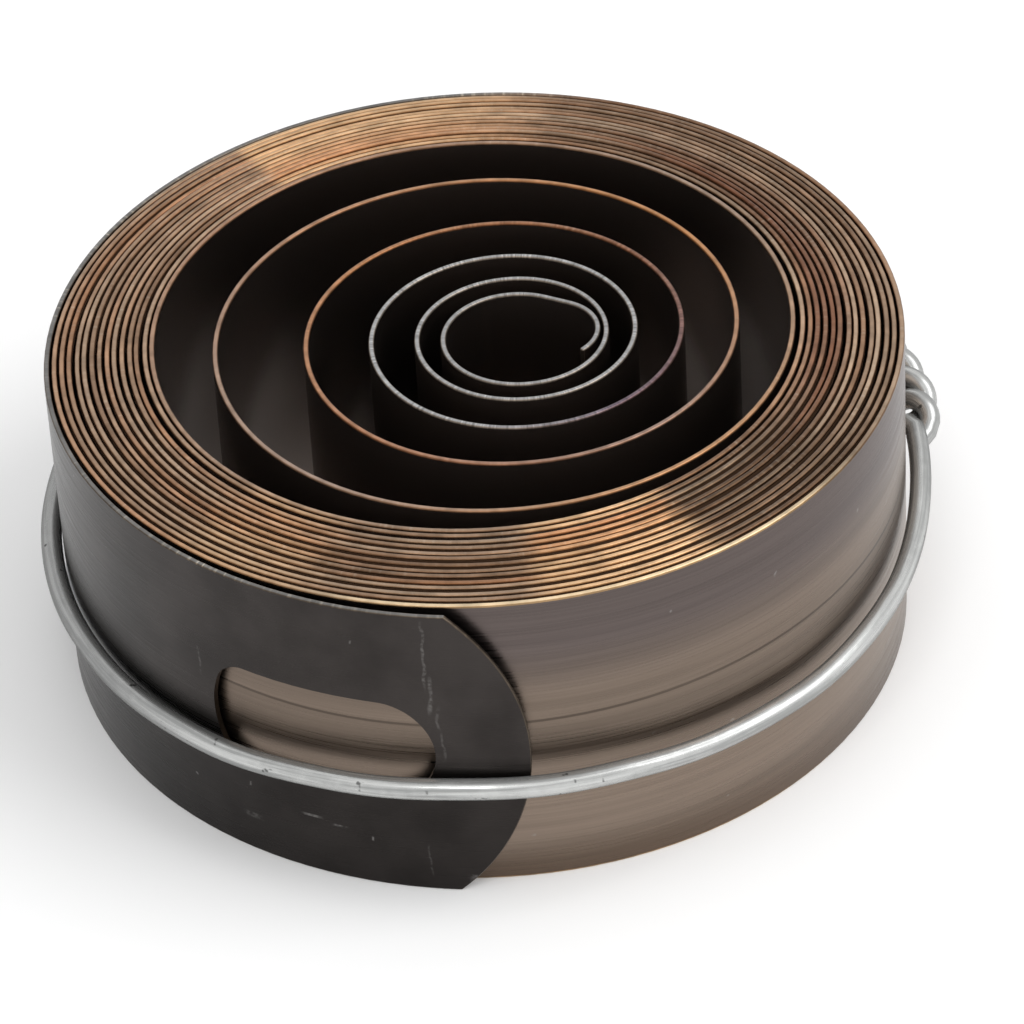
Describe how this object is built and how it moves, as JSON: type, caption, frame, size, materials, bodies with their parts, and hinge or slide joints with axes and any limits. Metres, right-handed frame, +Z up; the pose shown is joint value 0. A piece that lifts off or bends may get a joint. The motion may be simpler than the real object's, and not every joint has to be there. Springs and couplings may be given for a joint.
{
  "type": "spiral power spring",
  "caption": "Flat spring-steel strip wound into a spiral coil, open at the centre and packed outside, with a hooked inner end, a slotted outer end and a twisted wire tie.",
  "frame": {"origin": "on the packed coil's axis, in the plane of the strip's lower edge that the coil stands on", "axes": "+Z up along the coil's axis, -Y towards the outer end's tip at the front, +X to the right, where the wire is twisted"},
  "size_m": [0.0535, 0.0526, 0.0198],
  "materials": {
    "spring_steel": "tempered, with straw to brown oxide colours, and annealed dark at the outer end",
    "soft_iron_wire": "dull grey, drawn"
  },
  "bodies": {
    "root": {"spring_strip": "spring_steel", "binding_wire": "soft_iron_wire"}
  },
  "joints": []
}
